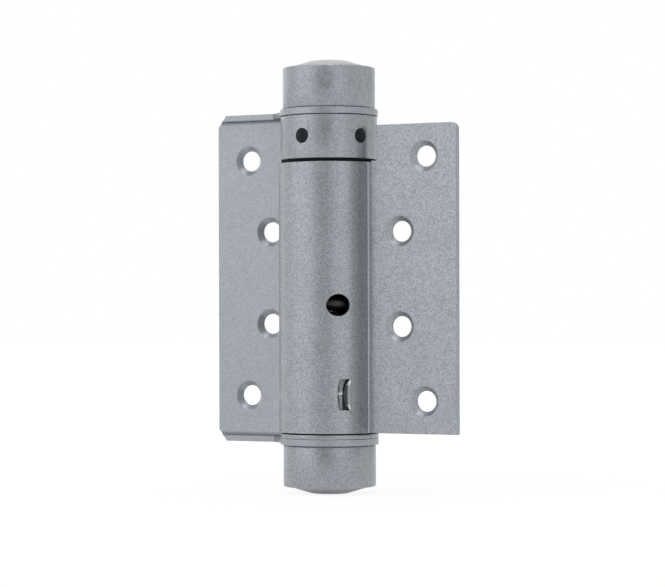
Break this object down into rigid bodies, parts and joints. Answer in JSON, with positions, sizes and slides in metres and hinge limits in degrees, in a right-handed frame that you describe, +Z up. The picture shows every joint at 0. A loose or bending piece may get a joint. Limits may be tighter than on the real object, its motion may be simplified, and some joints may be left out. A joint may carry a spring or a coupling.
{
  "type": "single action spring hinge",
  "caption": "Self-closing door hinge with a folded frame leaf, a door leaf rolled round a torsion spring, and a tension collar set with a tommy bar.",
  "frame": {"origin": "on the spindle axis, at mid height of the frame leaf and of the whole hinge", "axes": "+Z up along the spindle, +X towards the free edge of the door leaf with the hinge opened flat, -Y out of the countersunk faces"},
  "size_m": [0.0865, 0.0306, 0.1318],
  "materials": {
    "lacquered_steel": "silver-grey metallic lacquer, satin",
    "pale_nylon": "moulded, matt",
    "zinc_steel": "zinc plated",
    "oiled_spring_steel": "oil tempered, dark",
    "dark_nylon": "moulded, matt"
  },
  "bodies": {
    "frame": {"frame_leaf": "lacquered_steel", "spindle": "zinc_steel", "thrust_washer": "lacquered_steel", "top_cap": "lacquered_steel", "top_lock_washer": "zinc_steel", "top_nut": "zinc_steel", "top_plug": "pale_nylon", "bottom_cap": "lacquered_steel", "bottom_lock_washer": "zinc_steel", "bottom_nut": "zinc_steel", "bottom_plug": "pale_nylon"},
    "door": {"door_leaf": "lacquered_steel", "spring_anchor": "zinc_steel", "anchor_bush": "dark_nylon", "torsion_spring": "oiled_spring_steel"},
    "collar": {"tension_collar": "lacquered_steel", "collar_bush": "dark_nylon"}
  },
  "joints": [
    {"name": "door_swing", "type": "hinge", "parent": "frame", "child": "door", "pos_m": [0, 0, 0], "axis": [0, 0, 1], "range_deg": [-180, 0], "deforming": ["torsion_spring"]},
    {"name": "collar_turn", "type": "hinge", "parent": "frame", "child": "collar", "pos_m": [0, 0, 0.04245], "axis": [0, 0, 1], "range_deg": [-225, 0], "deforming": ["torsion_spring"]}
  ]
}
